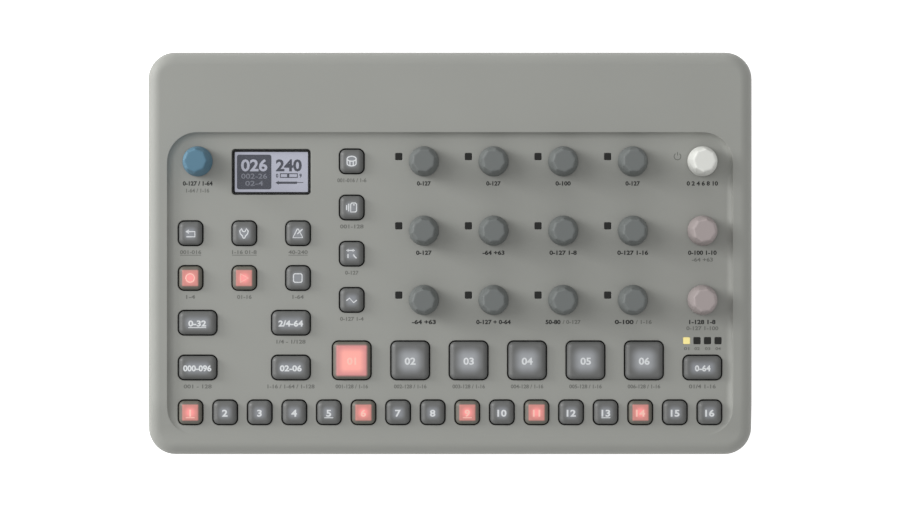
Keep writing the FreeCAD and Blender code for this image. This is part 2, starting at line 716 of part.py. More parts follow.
def lower_case():
    """The base tray: a floor, a low wall, locating lips, screw pillars and board posts."""
    height = "(dims.parting_height - dims.foot_height)"
    tray = block("tray_block", f"2 * {HALF_LENGTH}", f"2 * {HALF_DEPTH}", height, "0", "0",
                 "dims.foot_height")
    tray = rounded("tray_corners", tray, "dims.corner_radius", upright)
    tray = rounded("tray_base", tray, "dims.base_edge_radius",
                   level_at(number("dims.foot_height")))
    inside = block("tray_inside_block", f"2 * ({HALF_LENGTH} - dims.wall)",
                   f"2 * ({HALF_DEPTH} - dims.wall)", height, "0", "0", FLOOR_TOP)
    inside = rounded("tray_inside", inside, "dims.corner_radius - dims.wall", upright)
    tray = carved("tray", tray, [inside])
    lip_top = "(dims.parting_height + dims.lip_height)"
    side_x = f"({HALF_LENGTH} - dims.wall - dims.close_gap - dims.lip_thickness / 2)"
    front_y = f"({HALF_DEPTH} - dims.wall - dims.close_gap - dims.lip_thickness / 2)"
    low = f"({FLOOR_TOP} - dims.sink_in)"
    lip_ends = "(dims.corner_radius + dims.lip_end_gap)"
    parts = [tray]
    parts.append(block("front_lip", f"2 * ({HALF_LENGTH} - {lip_ends})",
                       "dims.lip_thickness", f"{lip_top} - {low}", "0", f"-{front_y}", low))
    for side, sign in (("left", "-"), ("right", "")):
        parts.append(block(f"{side}_lip", "dims.lip_thickness",
                           f"2 * ({HALF_DEPTH} - {lip_ends})",
                           f"{lip_top} - {low}", f"{sign}{side_x}", "0", low))
    pillar_top = f"({BOARD_UNDER} - dims.close_gap)"
    tools = []
    for name, x, y, _ in SCREWS:
        parts.append(rod(f"{name}_pillar", "dims.pillar_radius", f"{pillar_top} - {low}",
                         x, y, low))
        passage = rod(f"{name}_passage", "dims.screw_radius + dims.shaft_gap",
                      f"{pillar_top} + dims.overshoot - dims.foot_height", x, y,
                      "dims.foot_height")
        sink = rod(f"{name}_sink", "dims.screw_head_radius + dims.loose_gap",
                   f"{SCREW_SEAT} - dims.foot_height", x, y, "dims.foot_height")
        tools.append(joined(f"{name}_screw_way", [passage, sink]))
    for i in range(TRACK_PADS):
        parts.append(rod(f"post_{i}", "dims.post_radius", f"{pillar_top} - {low}",
                         pad_x(i), PAD_Y, low))
    for name, x, y in FEET:
        tools.append(rod(f"{name}_seat", "dims.foot_radius + dims.close_gap", "dims.foot_seat",
                         x, y, "dims.foot_height"))
    return carved("lower_case", joined("tray_full", parts), tools)


def rubber_feet():
    """Four round feet, each set into its seat in the base."""
    feet = []
    for name, x, y in FEET:
        foot = rod(f"{name}_disc", "dims.foot_radius",
                   "dims.foot_height + dims.foot_seat - dims.fit_gap", x, y, "0")
        feet.append(rounded(name, foot, "dims.foot_edge_radius", level_at(0)))
    return grouped("rubber_feet", feet)


def case_screws():
    """Screws that clamp base, board and upper shell together, with a hexagon in each head."""
    screws = []
    for name, x, y, _ in SCREWS:
        head_z = f"({SCREW_SEAT} - dims.fit_gap - dims.screw_head_height)"
        shank_z = f"({head_z} + dims.screw_head_height - dims.sink_in)"
        head = rod(f"{name}_head", "dims.screw_head_radius", "dims.screw_head_height",
                   x, y, head_z)
        shank = rod(f"{name}_shank", "dims.screw_radius",
                    f"{ON_BOARD} + dims.screw_engagement - {shank_z}", x, y, shank_z)
        drive = doc.addObject("Part::Prism", f"{name}_drive")
        drive.Polygon = DRIVE_SIDES
        drive.setExpression("Circumradius", "dims.screw_drive_radius")
        drive.setExpression("Height", "dims.screw_drive_depth")
        place(drive, x, y, head_z)
        screws.append(carved(f"{name}_screw", joined(f"{name}_bolt", [head, shank]), [drive]))
    return grouped("case_screws", screws)


def rotary_control(name, x, y):
    """An encoder, or the volume control, with a bushing that the shaft turns in."""
    body = block(f"{name}_rotary_body", "dims.rotary_size", "dims.rotary_size",
                 "dims.rotary_height", x, y, ON_BOARD)
    bushing_top = f"({PANEL_UNDER} - dims.loose_gap)"
    bushing = rod(f"{name}_bushing", "dims.bushing_radius", f"{bushing_top} - {ON_BOARD}",
                  x, y, ON_BOARD)
    bore_z = f"({ON_BOARD} + dims.rotary_floor)"
    bore = rod(f"{name}_rotary_bore", "dims.shaft_radius + dims.shaft_gap",
               f"{bushing_top} + dims.overshoot - {bore_z}", x, y, bore_z)
    return carved(f"{name}_rotary", joined(f"{name}_rotary_blank", [body, bushing]), [bore])


def key_switch(name, x, y):
    """A square switch housing with a well that the key's stem slides in."""
    body = block(f"{name}_switch_body", "dims.switch_size", "dims.switch_size",
                 "dims.switch_height", x, y, ON_BOARD)
    well_size = "dims.stem_size + 2 * dims.loose_gap"
    well = block(f"{name}_well", well_size, well_size, "dims.switch_height", x, y,
                 f"{ON_BOARD} + dims.switch_floor")
    return carved(f"{name}_switch", body, [well])


def board_plate():
    """The bare circuit board with its screw holes."""
    gap = "(dims.wall + dims.board_edge_gap)"
    plate = block("board_blank", f"2 * ({HALF_LENGTH} - {gap})", f"2 * ({HALF_DEPTH} - {gap})",
                  "dims.board_thickness", "0", "0", BOARD_UNDER)
    plate = rounded("board_outline", plate, "dims.corner_radius - dims.wall", upright)
    holes = [
        rod(f"{name}_board_hole", "dims.screw_radius + dims.loose_gap",
            "dims.board_thickness + 2 * dims.overshoot", x, y, f"{BOARD_UNDER} - dims.overshoot")
        for name, x, y, _ in SCREWS
    ]
    return carved("board_plate", plate, holes)


def chip(side):
    return block(f"{side}_chip", "dims.chip_size", "dims.chip_size", "dims.chip_height",
                 f"dims.{side}_chip_x", f"({REAR_INSIDE} - dims.chip_rear_inset)", ON_BOARD)


def display_module():
    """The liquid crystal display on four legs, its glass just under the screen's cover."""
    ledge = "2 * (dims.screen_ledge + dims.loose_gap)"
    plate_z = f"({PANEL_UNDER} - dims.loose_gap - dims.display_thickness)"
    joint_z = f"({plate_z} + dims.sink_in)"
    plate = block("display_plate", "dims.screen_length + 2 * dims.display_margin_across",
                  "dims.screen_width + 2 * dims.display_margin_deep", "dims.display_thickness",
                  SCREEN_X, SCREEN_Y, plate_z)
    glass = block("display_glass", f"dims.screen_length - {ledge}",
                  f"dims.screen_width - {ledge}", f"{LENS_Z} - dims.close_gap - {joint_z}",
                  SCREEN_X, SCREEN_Y, joint_z)
    parts = [plate, glass]
    for across in ("-", "+"):
        for deep in ("-", "+"):
            parts.append(rod(f"display_leg_{len(parts)}", "dims.display_leg_radius",
                             f"{joint_z} - {ON_BOARD}",
                             f"{SCREEN_X} {across} dims.screen_length / 2",
                             f"{SCREEN_Y} {deep} dims.screen_width / 2", ON_BOARD))
    return joined("display_module", parts)


def round_socket(name, kind):
    """A socket with a blind round bore, and a round nose that stands in the wall's window."""
    x = f"dims.{name}_x"
    depth = f"dims.{kind}_body_depth"
    body = block(f"{name}_body", f"dims.{kind}_body_length", depth, f"dims.{kind}_body_height",
                 x, f"({REAR_INSIDE} - {depth} / 2)", ON_BOARD)
    nose = rod(f"{name}_nose", f"dims.{kind}_window - dims.close_gap",
               "dims.socket_nose + dims.sink_in", x, f"({REAR_INSIDE} - dims.sink_in)",
               socket_z(kind), True)
    mouth = rod(f"{name}_bore", f"dims.{kind}_bore", depth, x,
                f"({REAR_INSIDE} - {depth} + dims.socket_back)", socket_z(kind), True)
    return carved(f"{name}_socket", joined(f"{name}_socket_blank", [body, nose]), [mouth])


def power_socket():
    """The power inlet: a round bore with a pin on its axis."""
    start = f"({REAR_INSIDE} - dims.power_body_depth + dims.power_pin_inset)"
    pin = rod("power_pin", "dims.power_pin",
              "dims.power_body_depth - 2 * dims.power_pin_inset", "dims.power_inlet_x", start,
              socket_z("power"), True)
    return joined("power_socket", [round_socket("power_inlet", "power"), pin])


def usb_socket():
    """A flat shell on a stand, with a tongue in its middle."""
    y = f"({REAR_INSIDE} - dims.usb_depth / 2)"
    z = f"({USB_Z} - dims.usb_height / 2)"
    shell = block("usb_body", "dims.usb_length", "dims.usb_depth", "dims.usb_height",
                  "dims.usb_x", y, z)
    space = block("usb_space", "dims.usb_length - 2 * dims.usb_shell", "dims.usb_depth",
                  "dims.usb_height - 2 * dims.usb_shell", "dims.usb_x",
                  f"{y} + dims.usb_back", f"{z} + dims.usb_shell")
    tongue = block("usb_tongue", "dims.usb_tongue_length",
                   "dims.usb_depth - dims.usb_tongue_inset", "dims.usb_tongue_thickness",
                   "dims.usb_x", f"{y} - dims.usb_tongue_inset / 2",
                   f"{USB_Z} - dims.usb_tongue_thickness / 2")
    stand = block("usb_stand", "dims.usb_length", "dims.usb_depth", "dims.usb_lift",
                  "dims.usb_x", y, ON_BOARD)
    return joined("usb_socket", [carved("usb_shell", shell, [space]), tongue, stand])


def main_board():
    """The circuit board and everything soldered to it, each component a solid of its own."""
    parts = [board_plate(), chip("left"), chip("right"), display_module(), usb_socket(),
             power_socket()]
    parts += [key_switch(name, x, y) for name, _, x, y in KEYS]
    parts += [rotary_control(name, x, y) for name, x, y in KNOBS]
    parts += [round_socket(name, kind) for name, kind in ROUND_SOCKETS if kind != "power"]
    return grouped("main_board", parts)


def lenses():
    """The screen's clear cover and the light pipes of the indicator lamps."""
    cover = block("screen_cover_block", "dims.screen_length - 2 * dims.close_gap",
                  "dims.screen_width - 2 * dims.close_gap",
                  f"dims.panel_height - {LENS_Z} - dims.fit_gap", SCREEN_X, SCREEN_Y, LENS_Z)
    parts = [rounded("screen_cover", cover, "dims.screen_corner - dims.close_gap", upright)]
    for name, x, y in LIGHTS:
        size = "dims.light_size - 2 * dims.close_gap"
        low = f"({BOARD_TOP} + dims.loose_gap)"
        pipe = block(f"{name}_pipe_block", size, size,
                     f"dims.panel_height - dims.fit_gap - {low}", x, y, low)
        parts.append(rounded(f"{name}_pipe", pipe, "dims.light_corner - dims.close_gap", upright))
    return grouped("screen_lens_and_light_pipes", parts)


def build():
    """Every node of the assembly, by name."""
    nodes = {
        "upper_case": upper_case(),
        "lower_case": lower_case(),
        "main_board": main_board(),
        "screen_lens_and_light_pipes": lenses(),
        "rubber_feet": rubber_feet(),
        "case_screws": case_screws(),
        "power_plunger": power_plunger(),
    }
    for name, kind, x, y in KEYS:
        nodes[name] = key(name, kind, x, y)
    for i, (name, x, y) in enumerate(KNOBS):
        nodes[name] = knob(name, x, y, i * KNOB_TURN)
    return nodes


def check(nodes):
    """Stop if any object of the document failed or any node has no sound shape."""
    for item in doc.Objects:
        if {"Invalid", "Error"} & set(item.State):
            raise RuntimeError(f"{item.Name} failed: {item.State}")
    for name, item in nodes.items():
        if item.Shape.isNull() or not item.Shape.isValid():
            raise RuntimeError(f"{name} has no sound shape")


def export(nodes):
    os.makedirs("parts", exist_ok=True)
    for name, item in nodes.items():
        item.Label = name
        item.Shape.exportStep(f"parts/{name}.step")
        print(name, len(item.Shape.Solids), round(item.Shape.Volume, 1))


parts_by_name = build()
doc.recompute()
check(parts_by_name)
export(parts_by_name)
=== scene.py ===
import bmesh
import bpy
import math
from mathutils import Matrix, Vector


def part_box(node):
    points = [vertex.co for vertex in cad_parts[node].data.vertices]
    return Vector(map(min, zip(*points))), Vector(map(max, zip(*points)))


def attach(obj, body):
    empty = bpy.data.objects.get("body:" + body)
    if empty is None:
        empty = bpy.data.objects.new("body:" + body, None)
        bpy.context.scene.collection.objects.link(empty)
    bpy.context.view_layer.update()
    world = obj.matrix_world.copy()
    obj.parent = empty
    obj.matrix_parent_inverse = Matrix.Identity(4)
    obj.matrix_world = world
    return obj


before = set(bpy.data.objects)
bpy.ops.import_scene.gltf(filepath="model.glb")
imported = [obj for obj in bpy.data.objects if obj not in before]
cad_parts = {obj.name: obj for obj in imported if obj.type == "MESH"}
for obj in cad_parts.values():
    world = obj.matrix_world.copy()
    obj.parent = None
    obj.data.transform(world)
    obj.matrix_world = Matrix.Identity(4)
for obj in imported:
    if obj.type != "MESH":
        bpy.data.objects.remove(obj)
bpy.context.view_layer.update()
MM = 0.001

# The base tray with its feet and screws. The tray is moulded in the shell's grey plastic with a
# slightly coarser grain, the feet are black rubber discs and the screws are zinc-plated steel.
def srgb(red, green, blue):
    """A colour as it is seen, from 0 to 255, in the linear values that a shader reads."""
    def linear(value):
        share = value / 255
        return share / 12.92 if share <= 0.04045 else ((share + 0.055) / 1.055) ** 2.4
    return (linear(red), linear(green), linear(blue), 1.0)


def new_group(name, inputs, outputs):
    """An empty node group with these sockets, each a (kind, name, start value)."""
    group = bpy.data.node_groups.new(name, "ShaderNodeTree")
    for kind, label, value in inputs:
        socket = group.interface.new_socket(label, in_out="INPUT", socket_type=f"NodeSocket{kind}")
        if value is not None:
            socket.default_value = value
    for kind, label in outputs:
        group.interface.new_socket(label, in_out="OUTPUT", socket_type=f"NodeSocket{kind}")
    return group, group.nodes.new("NodeGroupInput"), group.nodes.new("NodeGroupOutput")


def make_mould_grain():
    """Spark-eroded mould texture: fine bumps, cloudy tone, and a painted highlight that makes the
    edges slightly paler.
    """
    group, given, made = new_group(
        "mould_grain",
        [("Color", "Colour", (0.5, 0.5, 0.5, 1.0)), ("Float", "Grain", 2600.0),
         ("Float", "Depth", 0.00003), ("Float", "Edge", 0.0004), ("Float", "Sheen", 0.5),
         ("Float", "Edge_Highlight", 0.12)],
        [("Color", "Colour"), ("Float", "Roughness"), ("Vector", "Normal")])
    nodes, links = group.nodes, group.links
    where = nodes.new("ShaderNodeTexCoord")
    fine = nodes.new("ShaderNodeTexNoise")
    fine.inputs["Detail"].default_value = 3
    cloud = nodes.new("ShaderNodeTexNoise")
    cloud.inputs["Scale"].default_value = 26
    bevel = nodes.new("ShaderNodeBevel")
    bevel.samples = 6
    bump = nodes.new("ShaderNodeBump")
    tone = nodes.new("ShaderNodeMapRange")
    tone.inputs["To Min"].default_value = 0.965
    tone.inputs["To Max"].default_value = 1.035
    tint = nodes.new("ShaderNodeVectorMath")
    tint.operation = "SCALE"
    sharp = nodes.new("ShaderNodeNewGeometry")
    facing = nodes.new("ShaderNodeVectorMath")
    facing.operation = "DOT_PRODUCT"
    # Painted highlight: the colour turns paler at edges, where the smoothed normal leaves the true
    # face normal.
    edge_highlight = nodes.new("ShaderNodeMapRange")
    edge_highlight.inputs["From Min"].default_value = 0.995
    edge_highlight.inputs["From Max"].default_value = 0.85
    brighter = nodes.new("ShaderNodeMath")
    brighter.operation = "ADD"
    gloss = nodes.new("ShaderNodeMath")
    gloss.operation = "MULTIPLY_ADD"
    gloss.inputs[1].default_value = 0.12
    links.new(where.outputs["Object"], fine.inputs["Vector"])
    links.new(where.outputs["Object"], cloud.inputs["Vector"])
    links.new(given.outputs["Grain"], fine.inputs["Scale"])
    links.new(given.outputs["Edge"], bevel.inputs["Radius"])
    links.new(bevel.outputs["Normal"], bump.inputs["Normal"])
    links.new(fine.outputs["Fac"], bump.inputs["Height"])
    links.new(given.outputs["Depth"], bump.inputs["Distance"])
    links.new(cloud.outputs["Fac"], tone.inputs["Value"])
    links.new(bevel.outputs["Normal"], facing.inputs[0])
    links.new(sharp.outputs["True Normal"], facing.inputs[1])
    links.new(facing.outputs["Value"], edge_highlight.inputs["Value"])
    links.new(given.outputs["Edge_Highlight"], edge_highlight.inputs["To Max"])
    links.new(tone.outputs["Result"], brighter.inputs[0])
    links.new(edge_highlight.outputs["Result"], brighter.inputs[1])
    links.new(given.outputs["Colour"], tint.inputs[0])
    links.new(brighter.outputs["Value"], tint.inputs["Scale"])
    links.new(fine.outputs["Fac"], gloss.inputs[0])
    links.new(given.outputs["Sheen"], gloss.inputs[2])
    links.new(tint.outputs["Vector"], made.inputs["Colour"])
    links.new(gloss.outputs["Value"], made.inputs["Roughness"])
    links.new(bump.outputs["Normal"], made.inputs["Normal"])
    return group


MOULD_GRAIN = make_mould_grain()


def start_material(name, view_colour):
    material = bpy.data.materials.new(name)
    material.use_nodes = True
    material.diffuse_color = view_colour
    return material, material.node_tree.nodes, material.node_tree.links


def moulded(name, colour, roughness=0.5, grain=2600.0, depth=0.03, edge=0.4, edge_highlight=0.12):
    """Moulded plastic or rubber. Depth and edge are in millimetres."""
    material, nodes, links = start_material(name, colour)
    skin = nodes.new("ShaderNodeGroup")
    skin.node_tree = MOULD_GRAIN
    skin.inputs["Colour"].default_value = colour
    skin.inputs["Grain"].default_value = grain
    skin.inputs["Depth"].default_value = depth * MM
    skin.inputs["Edge"].default_value = edge * MM
    skin.inputs["Sheen"].default_value = roughness
    # The strength of the painted highlight that makes the edges paler.
    skin.inputs["Edge_Highlight"].default_value = edge_highlight
    shader = nodes["Principled BSDF"]
    links.new(skin.outputs["Colour"], shader.inputs["Base Color"])
    links.new(skin.outputs["Roughness"], shader.inputs["Roughness"])
    links.new(skin.outputs["Normal"], shader.inputs["Normal"])
    return material


def finish_node(node, material):
    """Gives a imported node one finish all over."""
    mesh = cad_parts[node].data
    mesh.materials.clear()
    mesh.materials.append(material)


BRUSH_SPREAD = 0.08


def brushed_metal(name, colour, roughness):
    """Plated or drawn metal, with fine streaks in its gloss."""
    material, nodes, links = start_material(name, colour)
    shader = nodes["Principled BSDF"]
    shader.inputs["Metallic"].default_value = 1.0
    shader.inputs["Base Color"].default_value = colour
    where = nodes.new("ShaderNodeTexCoord")
    lines = nodes.new("ShaderNodeTexNoise")
    lines.inputs["Scale"].default_value = 3000
    spread = nodes.new("ShaderNodeMapRange")
    spread.inputs["To Min"].default_value = roughness - BRUSH_SPREAD
    spread.inputs["To Max"].default_value = roughness + BRUSH_SPREAD
    links.new(where.outputs["Object"], lines.inputs["Vector"])
    links.new(lines.outputs["Fac"], spread.inputs["Value"])
    links.new(spread.outputs["Result"], shader.inputs["Roughness"])
    return material


finish_node("lower_case", moulded("tray_plastic", srgb(140, 141, 137), 0.55, 1900.0, 0.05))
finish_node("rubber_feet", moulded("foot_rubber", srgb(34, 34, 35), 0.7, 1400.0, 0.08))
finish_node("case_screws", brushed_metal("zinc_plate", srgb(172, 172, 176), 0.34))

# The circuit board with its switches, rotary controls and sockets. Green solder mask carries black
# moulded housings with nickel-plated noses, and the data socket is a folded steel shell.
BARE_BOARD = ((-200, -200, 0), (200, 200, 8.65))
DATA_SOCKET = ((57.3, 79.0, 9.5), (66.7, 88.0, 14.0))
SOCKET_NOSES = ((-110, 87.45, 5), (110, 89.5, 25))


def make_inside_box():
    """1 where a point lies inside a box given by two corners, and 0 elsewhere."""
    group, given, made = new_group(
        "inside_box", [("Vector", "Low", (0, 0, 0)), ("Vector", "High", (1, 1, 1))],
        [("Float", "Inside")])
    nodes, links = group.nodes, group.links
    where = nodes.new("ShaderNodeTexCoord")
    inside = None
    for side, first, second in (("Low", where.outputs["Object"], given.outputs["Low"]),
                                ("High", given.outputs["High"], where.outputs["Object"])):
        room = nodes.new("ShaderNodeVectorMath")
        room.operation = "SUBTRACT"
        links.new(first, room.inputs[0])
        links.new(second, room.inputs[1])
        split = nodes.new("ShaderNodeSeparateXYZ")
        links.new(room.outputs["Vector"], split.inputs["Vector"])
        for axis in "XYZ":
            beyond = nodes.new("ShaderNodeMath")
            beyond.operation = "GREATER_THAN"
            beyond.inputs[1].default_value = 0
            links.new(split.outputs[axis], beyond.inputs[0])
            if inside is None:
                inside = beyond.outputs["Value"]
                continue
            both = nodes.new("ShaderNodeMath")
            both.operation = "MULTIPLY"
            links.new(inside, both.inputs[0])
            links.new(beyond.outputs["Value"], both.inputs[1])
            inside = both.outputs["Value"]
    links.new(inside, made.inputs["Inside"])
    return group


INSIDE_BOX = make_inside_box()


def box_mask(nodes, low, high):
    """A mask socket for a box in millimetres."""
    box = nodes.new("ShaderNodeGroup")
    box.node_tree = INSIDE_BOX
    box.inputs["Low"].default_value = Vector(low) * MM
    box.inputs["High"].default_value = Vector(high) * MM
    return box.outputs["Inside"]


def blend(nodes, links, factor, below, above):
    """A mix of two colours, each a colour or a socket, by a factor socket."""
    mix = nodes.new("ShaderNodeMix")
    mix.data_type = "RGBA"
    links.new(factor, mix.inputs["Factor"])
    slots = [socket for socket in mix.inputs if socket.type == "RGBA"]
    for socket, value in zip(slots, (below, above)):
        if isinstance(value, bpy.types.NodeSocket):
            links.new(value, socket)
        else:
            socket.default_value = value
    return next(socket for socket in mix.outputs if socket.type == "RGBA")


def board_material():
    material, nodes, links = start_material("populated_board", srgb(24, 60, 44))
    shader = nodes["Principled BSDF"]
    plate = box_mask(nodes, *BARE_BOARD)
    steel = nodes.new("ShaderNodeMath")
    steel.operation = "MAXIMUM"
    links.new(box_mask(nodes, *DATA_SOCKET), steel.inputs[0])
    links.new(box_mask(nodes, *SOCKET_NOSES), steel.inputs[1])
    skin = nodes.new("ShaderNodeGroup")
    skin.node_tree = MOULD_GRAIN
    skin.inputs["Depth"].default_value = 0.02 * MM
    skin.inputs["Edge"].default_value = 0.2 * MM
    skin.inputs["Sheen"].default_value = 0.3
    colour = blend(nodes, links, plate, srgb(30, 30, 32), srgb(24, 74, 50))
    colour = blend(nodes, links, steel.outputs["Value"], colour, srgb(176, 176, 178))
    links.new(colour, skin.inputs["Colour"])
    links.new(steel.outputs["Value"], shader.inputs["Metallic"])
    links.new(skin.outputs["Colour"], shader.inputs["Base Color"])
    links.new(skin.outputs["Roughness"], shader.inputs["Roughness"])
    links.new(skin.outputs["Normal"], shader.inputs["Normal"])
    return material


finish_node("main_board", board_material())
finish_node("power_plunger", moulded("plunger_plastic", srgb(26, 26, 28), 0.4))

# The upper shell, one grey moulding with a sunken panel. Its surface is a fine even grain, and a
# painted highlight makes the long edges a little paler.
finish_node("upper_case", moulded("shell_plastic", srgb(150, 151, 146), 0.5, 2400.0, 0.035, 0.5))

# What is printed on the panel: dark numbers under the knobs, fainter ones under the keys, and the
# power symbol. The ink lies a few hundredths of a millimetre above the plastic.
PANEL_TOP = 25.0
INK_TOP = PANEL_TOP + 0.04
DIGIT_SHARE = 0.7246
SAME_POINT = 0.0001


def piece(name, mesh, material, body):
    """Makes a flat-shaded object of a bmesh, at the origin, that rides on a body."""
    data = bpy.data.meshes.new(name)
    bmesh.ops.remove_doubles(mesh, verts=mesh.verts, dist=SAME_POINT * MM)
    bmesh.ops.recalc_face_normals(mesh, faces=mesh.faces)
    mesh.to_mesh(data)
    mesh.free()
    data.materials.append(material)
    for face in data.polygons:
        face.use_smooth = False
    item = bpy.data.objects.new(name, data)
    bpy.context.scene.collection.objects.link(item)
    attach(item, body)


def thin_block(mesh, x, y, length, width, bottom, top):
    """Adds a closed flat block to a bmesh. All sizes are in millimetres."""
    centre = Matrix.Translation(Vector((x, y, (bottom + top) / 2)) * MM)
    size = Matrix.Diagonal(Vector((length, width, top - bottom)) * MM).to_4x4()
    bmesh.ops.create_cube(mesh, size=1, matrix=centre @ size)


def printed(mesh, text, x, y, length, height, bottom, top, weight, stretch=1.0):
    """Adds a row of digits to a bmesh, centred on x and y. In millimetres.

    The row is as long as given, or stretched by a share where no length is given.
    """
    curve = bpy.data.curves.new("digits", "FONT")
    curve.body = text
    curve.size = height / DIGIT_SHARE * MM
    curve.extrude = (top - bottom) / 2 * MM
    curve.offset = weight * MM
    curve.resolution_u = 3
    drawn = bpy.data.objects.new("digits_drawn", curve)
    data = bpy.data.meshes.new_from_object(drawn)
    bpy.data.objects.remove(drawn)
    left = min(v.co.x for v in data.vertices)
    right = max(v.co.x for v in data.vertices)
    if length:
        stretch = length * MM / (right - left)
    data.transform(Matrix.Translation(Vector((x, y, (bottom + top) / 2)) * MM)
                   @ Matrix.Diagonal((stretch, 1, 1, 1))
                   @ Matrix.Translation((-(left + right) / 2, -height / 2 * MM, 0)))
    mesh.from_mesh(data)
    bpy.data.meshes.remove(data)


def middle(node):
    """The middle of a node across and deep, in millimetres."""
    low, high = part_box(node)
    return (low.x + high.x) / 2 / MM, (low.y + high.y) / 2 / MM


def uneven(nodes, links, colour, scale, spread):
    """A socket with a colour whose tone varies by a share, in a noise of the given scale."""
    where = nodes.new("ShaderNodeTexCoord")
    noise = nodes.new("ShaderNodeTexNoise")
    noise.inputs["Scale"].default_value = scale
    tone = nodes.new("ShaderNodeMapRange")
    tone.inputs["To Min"].default_value = 1 - spread
    tone.inputs["To Max"].default_value = 1 + spread
    tint = nodes.new("ShaderNodeVectorMath")
    tint.operation = "SCALE"
    tint.inputs[0].default_value = colour[:3]
    links.new(where.outputs["Object"], noise.inputs["Vector"])
    links.new(noise.outputs["Fac"], tone.inputs["Value"])
    links.new(tone.outputs["Result"], tint.inputs["Scale"])
    return tint.outputs["Vector"]


INK_SPECKLE = (1800, 0.12)


def ink(name, colour):
    """Screen-printed ink: flat and matte, slightly broken up where it lies on the grain."""
    material, nodes, links = start_material(name, colour)
    shader = nodes["Principled BSDF"]
    shader.inputs["Roughness"].default_value = 0.6
    links.new(uneven(nodes, links, colour, *INK_SPECKLE), shader.inputs["Base Color"])
    return material


KNOB_MARK_DROP = 9.8
KNOB_MARK_HEIGHT, KNOB_MARK_WEIGHT = 1.85, 0.09
FAINT_HEIGHT, FAINT_WEIGHT = 1.7, 0.05
# What stands under each knob: the digits, how far to the right and how long, and for the faint ones
# how far down. Under each key: the digits and how long.
KNOB_MARKS = [
    ("level_knob", "0-127 / 1-64", 0, 13.3), ("pitch_knob", "0-127", 0, 6.2),
    ("decay_knob", "0-127", 0, 6.5), ("color_knob", "0-100", 0, 6.8),
    ("shape_knob", "0-127", 0, 6.5), ("main_volume_knob", "0 2 4 6 8 10", 0, 14.0),
    ("sweep_knob", "0-127", 0, 7.0), ("contour_knob", "-64 +63", 0, 9.8),
    ("delay_send_knob", "0-127 1-8", 0, 12.2), ("reverb_send_knob", "0-127 1-16", 0, 13.8),
    ("reverb_size_knob", "0-100 1-10", 0, 12.8), ("lfo_speed_knob", "-64 +63", 0, 10.7),
    ("volume_knob", "0-127 + 0-64", 0, 15.4), ("swing_knob", "50-80", -4.5, 6.7),
    ("chance_knob", "0-100", -3.8, 8.4), ("delay_time_knob", "1-128 1-8", 0, 11.8),
]
FAINT_KNOB_MARKS = [
    ("level_knob", "1-64 / 1-16", 0, 10.3, 13.0), ("reverb_size_knob", "-64 +63", 0, 9.4, 12.9),
    ("delay_time_knob", "0-127 1-100", 0, 14.3, 12.6), ("swing_knob", "/ 0-127", 3.8, 8.1, 9.8),
    ("chance_knob", "/ 1-16", 4.9, 7.2, 9.8),
]
KEY_MARKS = {
    "return_key": ("001-016", 9.5), "settings_key": ("1-16 01-8", 11.0),
    "tempo_key": ("40-240", 8.6), "record_key": ("1-4", 4.0), "play_key": ("01-16", 6.5),
    "stop_key": ("1-64", 5.0), "drum_key": ("001-016 / 1-6", 13.0), "card_key": ("001-128", 10.5),
    "arrows_key": ("0-127", 6.0), "wave_key": ("0-127 1-4", 10.5),
    "retrigger_key": ("1/4 - 1/128", 13.0), "pattern_key": ("001 - 128", 12.5),
    "track_key": ("1-16 / 1-64 / 1-128", 21.0), "page_key": ("01/4 1-16", 12.0),
}
UNDERLINED = ("return_key", "settings_key", "tempo_key")
UNDERLINE_DROP, UNDERLINE_WIDTH = 1.4, 0.25
KEY_MARK_DROP = 8.4
PAD_MARK_DROP, PAD_MARK_LENGTH = 11.6, 14.5
PADS = [f"track_pad_{i + 1}" for i in range(6)]
dark_marks = bmesh.new()
faint_marks = bmesh.new()


def faint_mark(node, digits, across, length, drop):
    """Adds a faint row of digits in front of a knob, key or pad."""
    x, y = middle(node)
    printed(faint_marks, digits, x + across, y - drop, length, FAINT_HEIGHT, PANEL_TOP, INK_TOP,
            FAINT_WEIGHT)


for knob, digits, across, length in KNOB_MARKS:
    x, y = middle(knob)
    printed(dark_marks, digits, x + across, y - KNOB_MARK_DROP, length, KNOB_MARK_HEIGHT,
            PANEL_TOP, INK_TOP, KNOB_MARK_WEIGHT)
for mark in FAINT_KNOB_MARKS:
    faint_mark(*mark)
for key, (digits, length) in KEY_MARKS.items():
    faint_mark(key, digits, 0, length, KEY_MARK_DROP)
    if key in UNDERLINED:
        x, y = middle(key)
        thin_block(faint_marks, x, y - KEY_MARK_DROP - UNDERLINE_DROP, length, UNDERLINE_WIDTH,
                   PANEL_TOP, INK_TOP)
for i, pad in enumerate(PADS):
    faint_mark(pad, f"{i + 1:03d}-128 / 1-16", 0, PAD_MARK_LENGTH, PAD_MARK_DROP)
dark_ink = ink("dark_ink", srgb(30, 30, 29))
piece("printed_marks_dark", dark_marks, dark_ink, "case")
faint_ink = ink("faint_ink", srgb(106, 107, 103))
piece("printed_marks_faint", faint_marks, faint_ink, "case")


STROKE_HEIGHT = 0.06


